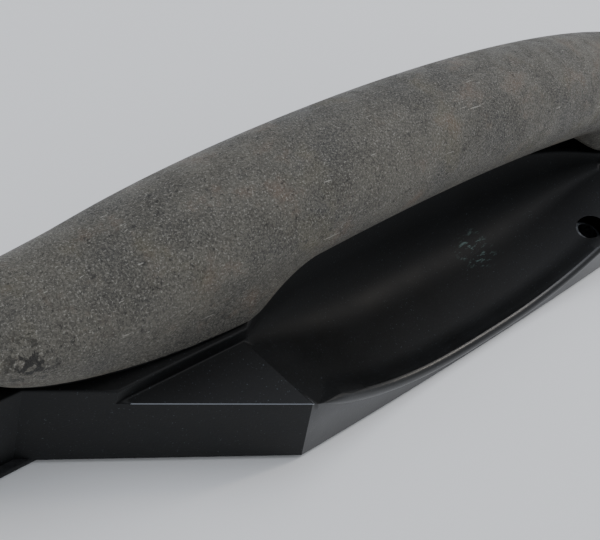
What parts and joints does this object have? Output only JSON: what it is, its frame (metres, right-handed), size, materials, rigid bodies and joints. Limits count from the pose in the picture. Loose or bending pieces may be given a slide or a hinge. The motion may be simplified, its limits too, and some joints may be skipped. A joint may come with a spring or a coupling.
{
  "type": "pull handle",
  "caption": "Fixed pull handle: arched honed stone grip on two feet, over a black faceted base with a scooped finger recess, rolled lip and screw hole.",
  "frame": {"origin": "middle of the grip's plan, on the back plane that goes against the wall", "axes": "+X along the grip, -Y the side the fingers come in from, +Z away from the wall"},
  "size_m": [0.2396, 0.0469, 0.0528],
  "materials": {
    "black_moulding": "satin moulded, fine grain",
    "basalt": "honed, fine speckle, pitted",
    "foam": "closed-cell foam sheet",
    "rubber": "die-cut sheet",
    "plate_steel": "zinc plated",
    "washer_steel": "zinc plated",
    "screw_steel": "black oxide",
    "dowel_steel": "ground",
    "standoff_steel": "zinc plated, turned",
    "ferrule_steel": "dark plated, pressed",
    "insert_brass": "turned, knurled",
    "resin": "cast epoxy"
  },
  "bodies": {
    "root": {"base_shell": "black_moulding", "stone_grip": "basalt", "wall_gasket": "foam", "backing_plate": "plate_steel", "cup_ferrule": "ferrule_steel", "plate_screws": "screw_steel", "seat_gasket_left": "rubber", "foot_screw_left": "screw_steel", "flat_washer_left": "washer_steel", "spring_washer_left": "washer_steel", "spacer_sleeve_left": "plate_steel", "threaded_insert_left": "insert_brass", "bonding_resin_left": "resin", "locating_dowel_left": "dowel_steel", "mount_standoff_left": "standoff_steel", "seat_gasket_right": "rubber", "foot_screw_right": "screw_steel", "flat_washer_right": "washer_steel", "spring_washer_right": "washer_steel", "spacer_sleeve_right": "plate_steel", "threaded_insert_right": "insert_brass", "bonding_resin_right": "resin", "locating_dowel_right": "dowel_steel", "mount_standoff_right": "standoff_steel"}
  },
  "joints": []
}
